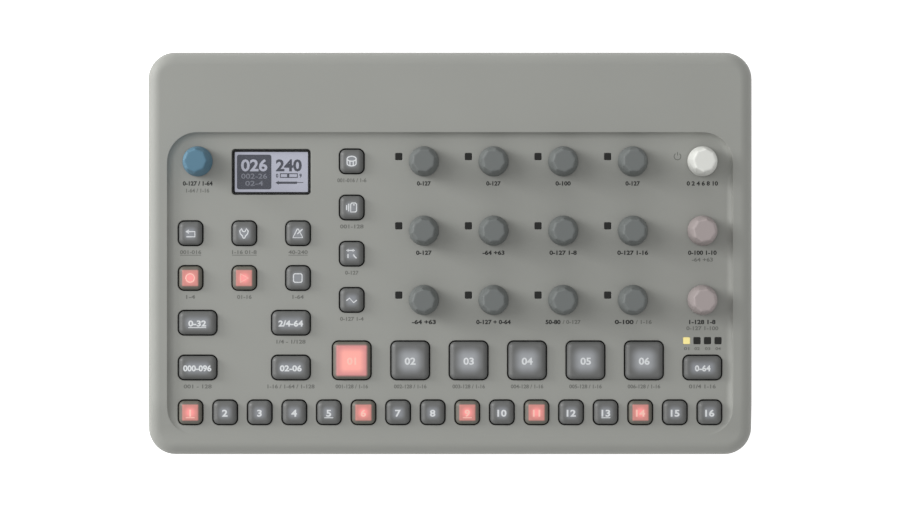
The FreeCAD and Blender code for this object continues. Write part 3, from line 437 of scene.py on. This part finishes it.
def stroke(name, lines, width, x, y, z, material, body):
    """Flat lines drawn on a face. Each line is (points, closed), in millimetres from x and y."""
    curve = bpy.data.curves.new(name, "CURVE")
    curve.dimensions = "3D"
    curve.bevel_depth = width / 2 * MM
    curve.bevel_resolution = 2
    curve.use_fill_caps = True
    for points, closed in lines:
        spline = curve.splines.new("POLY")
        spline.points.add(len(points) - 1)
        for dot, (across, up) in zip(spline.points, points):
            dot.co = (across * MM, up * MM, 0, 1)
        spline.use_cyclic_u = closed
    drawn = bpy.data.objects.new(f"{name}_drawn", curve)
    data = bpy.data.meshes.new_from_object(drawn)
    bpy.data.objects.remove(drawn)
    mesh = bmesh.new()
    mesh.from_mesh(data)
    bpy.data.meshes.remove(data)
    bmesh.ops.scale(mesh, vec=(1, 1, STROKE_HEIGHT / width), verts=mesh.verts)
    bmesh.ops.translate(mesh, vec=Vector((x, y, z)) * MM, verts=mesh.verts)
    piece(name, mesh, material, body)


def arc(radius, start, end, steps=20, squash=1.0):
    """Points of an arc from start to end degrees round the middle."""
    turns = [math.radians(start + (end - start) * i / steps) for i in range(steps + 1)]
    return [(radius * math.cos(t), radius * squash * math.sin(t)) for t in turns]


POWER_LEFT, POWER_BEHIND, POWER_STROKE = 11.1, 2.2, 0.3
power_x, power_y = middle("main_volume_knob")
stroke("power_symbol", [(arc(1.5, 125, 415), False), ([(0, 0.4), (0, 2.0)], False)],
       POWER_STROKE, power_x - POWER_LEFT, power_y + POWER_BEHIND, PANEL_TOP + 0.02,
       ink("symbol_ink", srgb(92, 93, 90)), "case")

# The screen: a grey-blue liquid crystal face, lit from behind, under a clear cover that is printed
# black round its edge. Plain numbers and bars stand where the real one shows words.
SCREEN_X, SCREEN_Y = -79.875, 36.45
COVER_LENGTH, COVER_WIDTH, COVER_CORNER = 35.1, 20.3, 1.6
BORDER_EDGE, BORDER_BOTTOM, BORDER_TOP = 1.2, 23.505, 23.54
FACE_BEHIND_BORDER = 0.4
FACE_LENGTH = COVER_LENGTH - 2 * BORDER_EDGE + FACE_BEHIND_BORDER
FACE_WIDTH = COVER_WIDTH - 2 * BORDER_EDGE + FACE_BEHIND_BORDER
FACE_CORNER = 0.5
GLASS_TOP = 23.45
FILM = 0.015
FACE_TOP = GLASS_TOP + FILM
BLOCK_TOP = FACE_TOP + FILM


def plate_between(x, y, length, width, corner, bottom, top):
    """A flat plate with round corners. In millimetres."""
    mesh = bmesh.new()
    thin_block(mesh, x, y, length, width, bottom, top)
    upright = [e for e in mesh.edges if abs(e.verts[0].co.z - e.verts[1].co.z) > FILM * MM / 4]
    bmesh.ops.bevel(mesh, geom=upright, offset=corner * MM, segments=6, profile=0.5,
                    affect="EDGES", material=-1)
    return mesh


FACE_CLOUD = (120, 0.03)


def backlit(name, colour, strength):
    """A glossy face that is lit from behind, in a colour with a faint cloudiness."""
    material, nodes, links = start_material(name, colour)
    shader = nodes["Principled BSDF"]
    shader.inputs["Roughness"].default_value = 0.3
    shader.inputs["Coat Weight"].default_value = 1.0
    shader.inputs["Emission Strength"].default_value = strength
    tint = uneven(nodes, links, colour, *FACE_CLOUD)
    links.new(tint, shader.inputs["Base Color"])
    links.new(tint, shader.inputs["Emission Color"])
    return material


lcd_pale = backlit("lcd_pale", srgb(186, 188, 203), 0.14)
lcd_dim = backlit("lcd_dim", srgb(132, 135, 147), 0.1)
lcd_dark = backlit("lcd_dark", srgb(72, 75, 87), 0.07)
border_black = ink("border_black", srgb(12, 13, 15))
piece("screen_face", plate_between(SCREEN_X, SCREEN_Y, FACE_LENGTH, FACE_WIDTH, FACE_CORNER,
                                   GLASS_TOP, FACE_TOP), lcd_pale, "case")
BLOCK_X = SCREEN_X - 7.7
BLOCK_LENGTH, BLOCK_WIDTH, BLOCK_CORNER = 15.4, 15.5, 1.0
READING_X = SCREEN_X + 7.8
piece("screen_block", plate_between(BLOCK_X, SCREEN_Y, BLOCK_LENGTH, BLOCK_WIDTH, BLOCK_CORNER,
                                    FACE_TOP, BLOCK_TOP), lcd_dark, "case")
# Each row of digits: its text, place across and up, length, height, level, colour and weight.
SCREEN_ROWS = {
    "screen_number_left": ("026", BLOCK_X, 3.1, 11.8, 5.2, BLOCK_TOP, lcd_pale, 0.2),
    "screen_number_right": ("240", READING_X, 3.1, 11.6, 5.2, FACE_TOP, lcd_dark, 0.22),
    "screen_line_upper": ("002-26", BLOCK_X, -1.8, 11.6, 2.3, BLOCK_TOP, lcd_dim, 0.04),
    "screen_line_lower": ("02-4", BLOCK_X, -5.0, 8.0, 2.2, BLOCK_TOP, lcd_dim, 0.04),
}
for name, (digits, x, up, length, height, bottom, tone, weight) in SCREEN_ROWS.items():
    row = bmesh.new()
    printed(row, digits, x, SCREEN_Y + up, length, height, bottom, bottom + FILM, weight)
    piece(name, row, tone, "case")
dark_bars = bmesh.new()
# The slider is a frame of four lines with a mark inside and a digit at each end.
SLIDER_Y, SLIDER_LENGTH, SLIDER_INSIDE, SLIDER_LINE = SCREEN_Y - 1.6, 8.0, 1.26, 0.4
SLIDER_MARK_X, SLIDER_MARK_LENGTH = READING_X - 0.3, 1.0
END_DIGIT_OUT, END_DIGIT_LENGTH, END_DIGIT_HEIGHT, END_DIGIT_WEIGHT = 5.25, 1.1, 1.7, 0.08
for side, end in ((-1, "0"), (1, "9")):
    thin_block(dark_bars, READING_X, SLIDER_Y + side * (SLIDER_INSIDE + SLIDER_LINE) / 2,
               SLIDER_LENGTH, SLIDER_LINE, FACE_TOP, BLOCK_TOP)
    thin_block(dark_bars, READING_X + side * (SLIDER_LENGTH - SLIDER_LINE) / 2, SLIDER_Y,
               SLIDER_LINE, SLIDER_INSIDE, FACE_TOP, BLOCK_TOP)
    printed(dark_bars, end, READING_X + side * END_DIGIT_OUT, SLIDER_Y, END_DIGIT_LENGTH,
            END_DIGIT_HEIGHT, FACE_TOP, BLOCK_TOP, END_DIGIT_WEIGHT)
thin_block(dark_bars, SLIDER_MARK_X, SLIDER_Y, SLIDER_MARK_LENGTH, SLIDER_INSIDE, FACE_TOP,
           BLOCK_TOP)
# The arrow is a three-sided head, a thick shaft and a thin tail, each a middle and its size.
ARROW_Y, ARROW_HEAD_X, ARROW_HEAD_RADIUS = SCREEN_Y - 4.8, READING_X - 5.0, 1.0
arrow_place = Matrix.Translation(Vector((ARROW_HEAD_X, ARROW_Y, FACE_TOP + FILM / 2)) * MM)
bmesh.ops.create_cone(dark_bars, cap_ends=True, segments=3, radius1=ARROW_HEAD_RADIUS * MM,
                      radius2=ARROW_HEAD_RADIUS * MM, depth=FILM * MM,
                      matrix=arrow_place @ Matrix.Rotation(math.pi / 2, 4, "Z"))
for across, up, length, width in ((-0.4, 0, 8.2, 1.0), (5.1, 0.1, 2.8, 0.3)):
    thin_block(dark_bars, READING_X + across, ARROW_Y + up, length, width, FACE_TOP, BLOCK_TOP)
piece("screen_bars_dark", dark_bars, lcd_dark, "case")
border = plate_between(SCREEN_X, SCREEN_Y, COVER_LENGTH, COVER_WIDTH, COVER_CORNER,
                       BORDER_BOTTOM, BORDER_TOP)
flats = [face for face in border.faces if abs(face.normal.z) > 0.5]
bmesh.ops.inset_individual(border, faces=flats, thickness=BORDER_EDGE * MM)
rims = [edge for face in flats for edge in face.edges]
bmesh.ops.delete(border, geom=flats, context="FACES_ONLY")
bmesh.ops.bridge_loops(border, edges=rims)
piece("screen_border", border, border_black, "case")

# One node holds the clear cover and the light pipes of the sixteen lamps. The pipes are smoked
# plastic with square ends flush in the panel, and the first of the four page lamps is lit.
PAGE_LAMP_PITCH, PAGE_LAMP_HALF = 4.7, 2
PAGE_LAMPS_BEHIND, PAGE_MARKS_BEHIND = 12.0, 8.5
COVER_BOX = ((-110, 20, 20), (-55, 60, 30))
page_x, page_y = middle("page_key")


def lens_material():
    material, nodes, links = start_material("lens_plastic", srgb(44, 45, 41))
    shader = nodes["Principled BSDF"]
    shader.inputs["Emission Strength"].default_value = 0.4
    cover = box_mask(nodes, *COVER_BOX)
    lit_x = page_x - 1.5 * PAGE_LAMP_PITCH
    lit_y = page_y + PAGE_LAMPS_BEHIND
    lit = box_mask(nodes, (lit_x - PAGE_LAMP_HALF, lit_y - PAGE_LAMP_HALF, 0),
                   (lit_x + PAGE_LAMP_HALF, lit_y + PAGE_LAMP_HALF, 30))
    clear = nodes.new("ShaderNodeMapRange")
    clear.inputs["To Min"].default_value = 1.0
    clear.inputs["To Max"].default_value = 0.06
    where = nodes.new("ShaderNodeTexCoord")
    smudge = nodes.new("ShaderNodeTexNoise")
    smudge.inputs["Scale"].default_value = 70
    polish = nodes.new("ShaderNodeMapRange")
    polish.inputs["To Min"].default_value = 0.12
    polish.inputs["To Max"].default_value = 0.26
    links.new(cover, clear.inputs["Value"])
    links.new(clear.outputs["Result"], shader.inputs["Alpha"])
    links.new(where.outputs["Object"], smudge.inputs["Vector"])
    links.new(smudge.outputs["Fac"], polish.inputs["Value"])
    links.new(polish.outputs["Result"], shader.inputs["Roughness"])
    links.new(blend(nodes, links, lit, srgb(15, 16, 13), srgb(206, 192, 120)),
              shader.inputs["Base Color"])
    links.new(blend(nodes, links, lit, (0, 0, 0, 1), srgb(255, 240, 170)),
              shader.inputs["Emission Color"])
    return material


finish_node("screen_lens_and_light_pipes", lens_material())
page_marks = bmesh.new()
for i in range(4):
    printed(page_marks, f"{i + 1:02d}", page_x + (i - 1.5) * PAGE_LAMP_PITCH,
            page_y + PAGE_MARKS_BEHIND, 2.4, 1.3, PANEL_TOP, INK_TOP, 0.04)
piece("page_lamp_marks", page_marks, faint_ink, "case")


# The keys and pads: translucent grey caps over a diffuser. Their flanks look darker than their
# faces, their skirts below the panel carry painted shade for the gap round them, and a lit key
# glows red in a soft square. Legends are printed in pale ink on the cap.
def make_key_face():
    """How much of a key's face a point belongs to: 1 inside a soft square round the centre."""
    group, given, made = new_group(
        "key_face",
        [("Vector", "Centre", None), ("Vector", "Half Size", None), ("Float", "Softness", 0.001)],
        [("Float", "Face"), ("Float", "Height")])
    nodes, links = group.nodes, group.links
    where = nodes.new("ShaderNodeTexCoord")
    offset = nodes.new("ShaderNodeVectorMath")
    offset.operation = "SUBTRACT"
    size = nodes.new("ShaderNodeVectorMath")
    size.operation = "ABSOLUTE"
    beyond = nodes.new("ShaderNodeVectorMath")
    beyond.operation = "SUBTRACT"
    outside = nodes.new("ShaderNodeVectorMath")
    outside.operation = "MAXIMUM"
    flat = nodes.new("ShaderNodeVectorMath")
    flat.operation = "MULTIPLY"
    flat.inputs[1].default_value = (1, 1, 0)
    far = nodes.new("ShaderNodeVectorMath")
    far.operation = "LENGTH"
    fade = nodes.new("ShaderNodeMapRange")
    fade.interpolation_type = "SMOOTHSTEP"
    fade.inputs["To Min"].default_value = 1.0
    fade.inputs["To Max"].default_value = 0.0
    split = nodes.new("ShaderNodeSeparateXYZ")
    links.new(where.outputs["Object"], offset.inputs[0])
    links.new(given.outputs["Centre"], offset.inputs[1])
    links.new(offset.outputs["Vector"], size.inputs[0])
    links.new(size.outputs["Vector"], beyond.inputs[0])
    links.new(given.outputs["Half Size"], beyond.inputs[1])
    links.new(beyond.outputs["Vector"], outside.inputs[0])
    links.new(outside.outputs["Vector"], flat.inputs[0])
    links.new(flat.outputs["Vector"], far.inputs[0])
    links.new(far.outputs["Value"], fade.inputs["Value"])
    links.new(given.outputs["Softness"], fade.inputs["From Max"])
    links.new(where.outputs["Object"], split.inputs["Vector"])
    links.new(fade.outputs["Result"], made.inputs["Face"])
    links.new(split.outputs["Z"], made.inputs["Height"])
    return group


KEY_FACE = make_key_face()
KEY_TOP = 27.3
FLANK = srgb(100, 101, 100)
# Painted shade: below these heights each cap's skirt fades to near black, standing in for the shade
# in the gap round the key.
GAP_SHADE = srgb(16, 17, 16)
GAP_LOW, GAP_HIGH = 24.2, 25.4
SMALL_GLOW = srgb(138, 141, 146)
PAD_GLOW = srgb(158, 161, 165)
LIT_RIM, LIT_GLOW = srgb(200, 132, 125), srgb(214, 124, 126)
LIT_PAD_RIM, LIT_PAD_GLOW = srgb(208, 138, 137), srgb(206, 144, 134)
LIT_FLANK = srgb(106, 103, 95)
RIM_LIGHT, HEART_LIGHT = srgb(110, 66, 62), srgb(255, 160, 152)


def face_mask(nodes, centre, half, softness):
    """The mask group for one key's face. In millimetres."""
    spot = nodes.new("ShaderNodeGroup")
    spot.node_tree = KEY_FACE
    spot.inputs["Centre"].default_value = (centre[0] * MM, centre[1] * MM, 0)
    spot.inputs["Half Size"].default_value = (half[0] * MM, half[1] * MM, 1)
    spot.inputs["Softness"].default_value = softness * MM
    return spot


def key_material(name, centre, glow_half, glow_softness, glow, lit=None):
    """A cap with a soft glow in its middle, and if lit is given, a flat lit square round it."""
    material, nodes, links = start_material(name, glow)
    shader = nodes["Principled BSDF"]
    heart = face_mask(nodes, centre, glow_half, glow_softness)
    raised = nodes.new("ShaderNodeMapRange")
    raised.inputs["From Min"].default_value = GAP_LOW * MM
    raised.inputs["From Max"].default_value = GAP_HIGH * MM
    links.new(heart.outputs["Height"], raised.inputs["Value"])
    # Painted shade: the cap fades to near black below the panel, standing in for the shade in the
    # gap round the key.
    colour = blend(nodes, links, raised.outputs["Result"], GAP_SHADE, LIT_FLANK if lit else FLANK)
    if lit:
        half, softness, rim = lit
        square = face_mask(nodes, centre, half, softness)
        face = blend(nodes, links, heart.outputs["Face"], rim, glow)
        colour = blend(nodes, links, square.outputs["Face"], colour, face)
        light = blend(nodes, links, square.outputs["Face"], (0, 0, 0, 1),
                      blend(nodes, links, heart.outputs["Face"], RIM_LIGHT, HEART_LIGHT))
        links.new(light, shader.inputs["Emission Color"])
        shader.inputs["Emission Strength"].default_value = 0.42
    else:
        colour = blend(nodes, links, heart.outputs["Face"], colour, glow)
    skin = nodes.new("ShaderNodeGroup")
    skin.node_tree = MOULD_GRAIN
    skin.inputs["Grain"].default_value = 3400.0
    skin.inputs["Depth"].default_value = 0.012 * MM
    skin.inputs["Edge"].default_value = 0.3 * MM
    skin.inputs["Sheen"].default_value = 0.42
    # A faint painted highlight on the cap's edges.
    skin.inputs["Edge_Highlight"].default_value = 0.06
    links.new(colour, skin.inputs["Colour"])
    links.new(skin.outputs["Colour"], shader.inputs["Base Color"])
    links.new(skin.outputs["Roughness"], shader.inputs["Roughness"])
    links.new(skin.outputs["Normal"], shader.inputs["Normal"])
    return material


pale_legend = ink("legend_pale", srgb(216, 219, 221))
warm_legend = backlit("legend_warm", srgb(240, 188, 174), 0.14)
LIT_KEYS = {"record_key", "play_key", "track_pad_1", "step_key_01", "step_key_06", "step_key_09",
            "step_key_11", "step_key_14"}
STEP_KEYS = [f"step_key_{i + 1:02d}" for i in range(16)]
WIDE_LEGENDS = {"function_key": ("0-32", 8.0), "retrigger_key": ("2/4-64", 11.0),
                "pattern_key": ("000-096", 12.6), "track_key": ("02-06", 9.8),
                "page_key": ("0-64", 7.0)}
ICONS = {
    "return_key": [([(-1.7, -1.6), (2.1, -1.6), (2.1, 0.7), (-0.6, 0.7)], False),
                   ([(-0.7, 1.45), (-1.9, 0.7), (-0.7, -0.1)], True),
                   ([(-0.9, 0.7), (-1.5, 0.7)], False)],
    "settings_key": [([(-1.05, 2.1), (-1.9, 1.0), (-1.6, -0.3), (-0.7, -1.2), (-0.35, -2.2),
                       (0.35, -2.2), (0.7, -1.2), (1.6, -0.3), (1.9, 1.0), (1.05, 2.1),
                       (0.7, 1.0), (0, 0.6), (-0.7, 1.0)], True)],
    "tempo_key": [([(-2.2, -2.0), (-0.25, 1.85), (0.25, 1.85), (2.2, -2.0)], True),
                  ([(2.1, 1.8), (-0.2, -0.35)], False)],
    "record_key": [(arc(1.9, 0, 345), True)],
    "play_key": [([(-1.5, 1.9), (1.9, 0.0), (-1.5, -1.9)], True)],
    "stop_key": [([(-1.9, -1.4), (-1.4, -1.9), (1.4, -1.9), (1.9, -1.4), (1.9, 1.4), (1.4, 1.9),
                   (-1.4, 1.9), (-1.9, 1.4)], True)],
    "drum_key": [([(x, y + 1.1) for x, y in arc(2.0, 0, 345, 20, 0.55)], True),
                 ([(-2.0, 1.1), (-2.0, -1.0)]
                  + [(x, y - 1.0) for x, y in arc(2.0, 180, 360, 12, 0.55)]
                  + [(2.0, 1.1)], False),
                 ([(-0.75, 0.0), (-0.75, -2.0)], False), ([(0.75, 0.0), (0.75, -2.0)], False)],
    "card_key": [([(-0.4, -2.0), (1.7, -2.0), (2.2, -1.5), (2.2, 1.5), (1.7, 2.0), (0.1, 2.0),
                   (-0.4, 1.4)], True),
                 ([(-1.3, -1.7), (-1.3, 1.7)], False), ([(-2.2, -1.1), (-2.2, 1.1)], False),
                 ([(0.6, 1.2), (1.4, 1.2)], False)],
    "arrows_key": [([(-1.5, 1.5), (0.7, 1.5)], False),
                   ([(-1.5, 1.95), (-2.2, 1.5), (-1.5, 1.05)], True),
                   ([(0.6, 1.95), (1.3, 1.5), (0.6, 1.05)], True),
                   ([(-1.6, -0.1), (-1.6, -1.9)], False),
                   ([(0.8, -0.3), (1.3, -1.2), (2.2, -2.0)], False)],
    "wave_key": [([(-2.3, -0.3), (-0.95, 0.85), (0.95, -1.2), (2.3, 0.0)], False)],
}

# The half size and the softness of the glow in each kind of cap, and of the square of a lit one.
SMALL_HEART, LIT_SMALL_HEART = ((0.8, 0.8), 3.0), ((0.2, 0.2), 3.2)
WIDE_HEART = ((3.4, 0.6), 3.4)
PAD_HEART, LIT_PAD_HEART = ((1.6, 1.6), 5.6), ((3.0, 3.0), 3.8)
SMALL_SQUARE, PAD_SQUARE = ((3.2, 3.2), 0.7), ((6.2, 6.2), 1.2)
LEGEND_DROP, LEGEND_WEIGHT = 0.2, 0.13
LEGEND_BOTTOM, LEGEND_TOP = KEY_TOP - 0.02, KEY_TOP + 0.03
BAR_DROP, BAR_WIDTH, STEP_BAR = 0.6, 0.36, 4.0
STEP_DIGITS, PAD_DIGITS, WIDE_DIGITS = (3.0, 1.2), (3.1, 1.15), (2.6, 1.0)
ICON_STROKE = 0.5


def dress_key(key, heart, glow):
    """Gives a key its cap material, lit if it is one of the lit keys."""
    lit = None
    if key in LIT_KEYS and key in PADS:
        heart, glow, lit = LIT_PAD_HEART, LIT_PAD_GLOW, (*PAD_SQUARE, LIT_PAD_RIM)
    elif key in LIT_KEYS:
        heart, glow, lit = LIT_SMALL_HEART, LIT_GLOW, (*SMALL_SQUARE, LIT_RIM)
    finish_node(key, key_material(f"{key}_cap", middle(key), *heart, glow, lit))


def legend_tone(key):
    return warm_legend if key in LIT_KEYS else pale_legend


def legend(key, text, length, height, stretch, underline=0):
    """Prints the digits on a cap, and a bar under them where underline gives its length."""
    x, y = middle(key)
    mesh = bmesh.new()
    printed(mesh, text, x, y - LEGEND_DROP, length, height, LEGEND_BOTTOM, LEGEND_TOP,
            LEGEND_WEIGHT, stretch)
    if underline:
        thin_block(mesh, x, y - LEGEND_DROP - height / 2 - BAR_DROP, underline, BAR_WIDTH,
                   LEGEND_BOTTOM, LEGEND_TOP)
    piece(f"{key}_legend", mesh, legend_tone(key), key)


for i, key in enumerate(STEP_KEYS):
    dress_key(key, SMALL_HEART, SMALL_GLOW)
    legend(key, str(i + 1), None, *STEP_DIGITS, 0 if i % 4 else STEP_BAR)
for i, key in enumerate(PADS):
    dress_key(key, PAD_HEART, PAD_GLOW)
    legend(key, f"0{i + 1}", None, *PAD_DIGITS)
for key, (digits, length) in WIDE_LEGENDS.items():
    dress_key(key, WIDE_HEART, SMALL_GLOW)
    legend(key, digits, length, *WIDE_DIGITS, length if key == "function_key" else 0)
for key, lines in ICONS.items():
    dress_key(key, SMALL_HEART, SMALL_GLOW)
    x, y = middle(key)
    stroke(f"{key}_legend", lines, ICON_STROKE, x, y, KEY_TOP, legend_tone(key), key)

# The knobs: tapered caps with soft flats, pushed on to their shafts. They are matte moulded plastic
# in grey, blue, white and rose, with a fine grain and a faint painted highlight at the top rim.
KNOB_COLOURS = {"level_knob": srgb(82, 121, 142), "main_volume_knob": srgb(218, 219, 214),
                "reverb_size_knob": srgb(161, 151, 150), "delay_time_knob": srgb(161, 151, 150)}
KNOB_GREY = srgb(105, 109, 108)
made_knobs = {}
for knob, *_ in KNOB_MARKS:
    colour = KNOB_COLOURS.get(knob, KNOB_GREY)
    if colour not in made_knobs:
        made_knobs[colour] = moulded(f"{knob}_plastic", colour, 0.55, 3000.0, 0.025, 0.9, 0.02)
    finish_node(knob, made_knobs[colour])

# The studio: a white floor that keeps the object's shadow, an even soft light from all round, and
# two soft lamps on the left, one high and one low. The camera looks straight down.
CAMERA_HEIGHT = 1.42
VIEW_LENGTH = 0.4035
OUTLINE_HEIGHT = 0.02
FLOOR_HALF = 3
SENSOR_WIDTH = 36


def floor_material():
    """White to the camera, but darker where the object shades it."""
    material, nodes, links = start_material("floor_white", (1, 1, 1, 1))
    shader = nodes["Principled BSDF"]
    shader.inputs["Base Color"].default_value = (0.9, 0.9, 0.9, 1)
    shader.inputs["Roughness"].default_value = 0.9
    shader.inputs["Emission Color"].default_value = (1, 1, 1, 1)
    seen = nodes.new("ShaderNodeLightPath")
    either = nodes.new("ShaderNodeMath")
    either.operation = "MAXIMUM"
    level = nodes.new("ShaderNodeMath")
    level.operation = "MULTIPLY"
    level.inputs[1].default_value = 0.75
    links.new(seen.outputs["Is Camera Ray"], either.inputs[0])
    links.new(seen.outputs["Is Glossy Ray"], either.inputs[1])
    links.new(either.outputs["Value"], level.inputs[0])
    links.new(level.outputs["Value"], shader.inputs["Emission Strength"])
    return material


ground = bmesh.new()
bmesh.ops.create_grid(ground, x_segments=1, y_segments=1, size=FLOOR_HALF)
ground_data = bpy.data.meshes.new("floor")
ground.to_mesh(ground_data)
ground.free()
ground_data.materials.append(floor_material())
floor = bpy.data.objects.new("floor", ground_data)
bpy.context.scene.collection.objects.link(floor)

world = bpy.data.worlds.new("studio")
world.use_nodes = True
world.node_tree.nodes["Background"].inputs["Color"].default_value = (1, 1, 1, 1)
world.node_tree.nodes["Background"].inputs["Strength"].default_value = 0.62
bpy.context.scene.world = world

for name, size, watts, place in (("high_lamp", 1.4, 14.9, (-1.462, 0.532, 1.556)),
                                 ("low_lamp", 0.9, 29.5, (-1.997, 0.727, 0.569))):
    lamp = bpy.data.lights.new(name, "AREA")
    lamp.shape = "DISK"
    lamp.size = size
    lamp.energy = watts
    hung = bpy.data.objects.new(name, lamp)
    hung.location = place
    hung.rotation_euler = (-hung.location).to_track_quat("-Z", "Y").to_euler()
    bpy.context.scene.collection.objects.link(hung)

eye = bpy.data.cameras.new("camera")
eye.sensor_width = SENSOR_WIDTH
eye.lens = SENSOR_WIDTH * (CAMERA_HEIGHT - OUTLINE_HEIGHT) / VIEW_LENGTH
camera = bpy.data.objects.new("camera", eye)
camera.location = (0, 0, CAMERA_HEIGHT)
bpy.context.scene.collection.objects.link(camera)
bpy.context.scene.camera = camera
bpy.context.scene.view_settings.view_transform = "Standard"
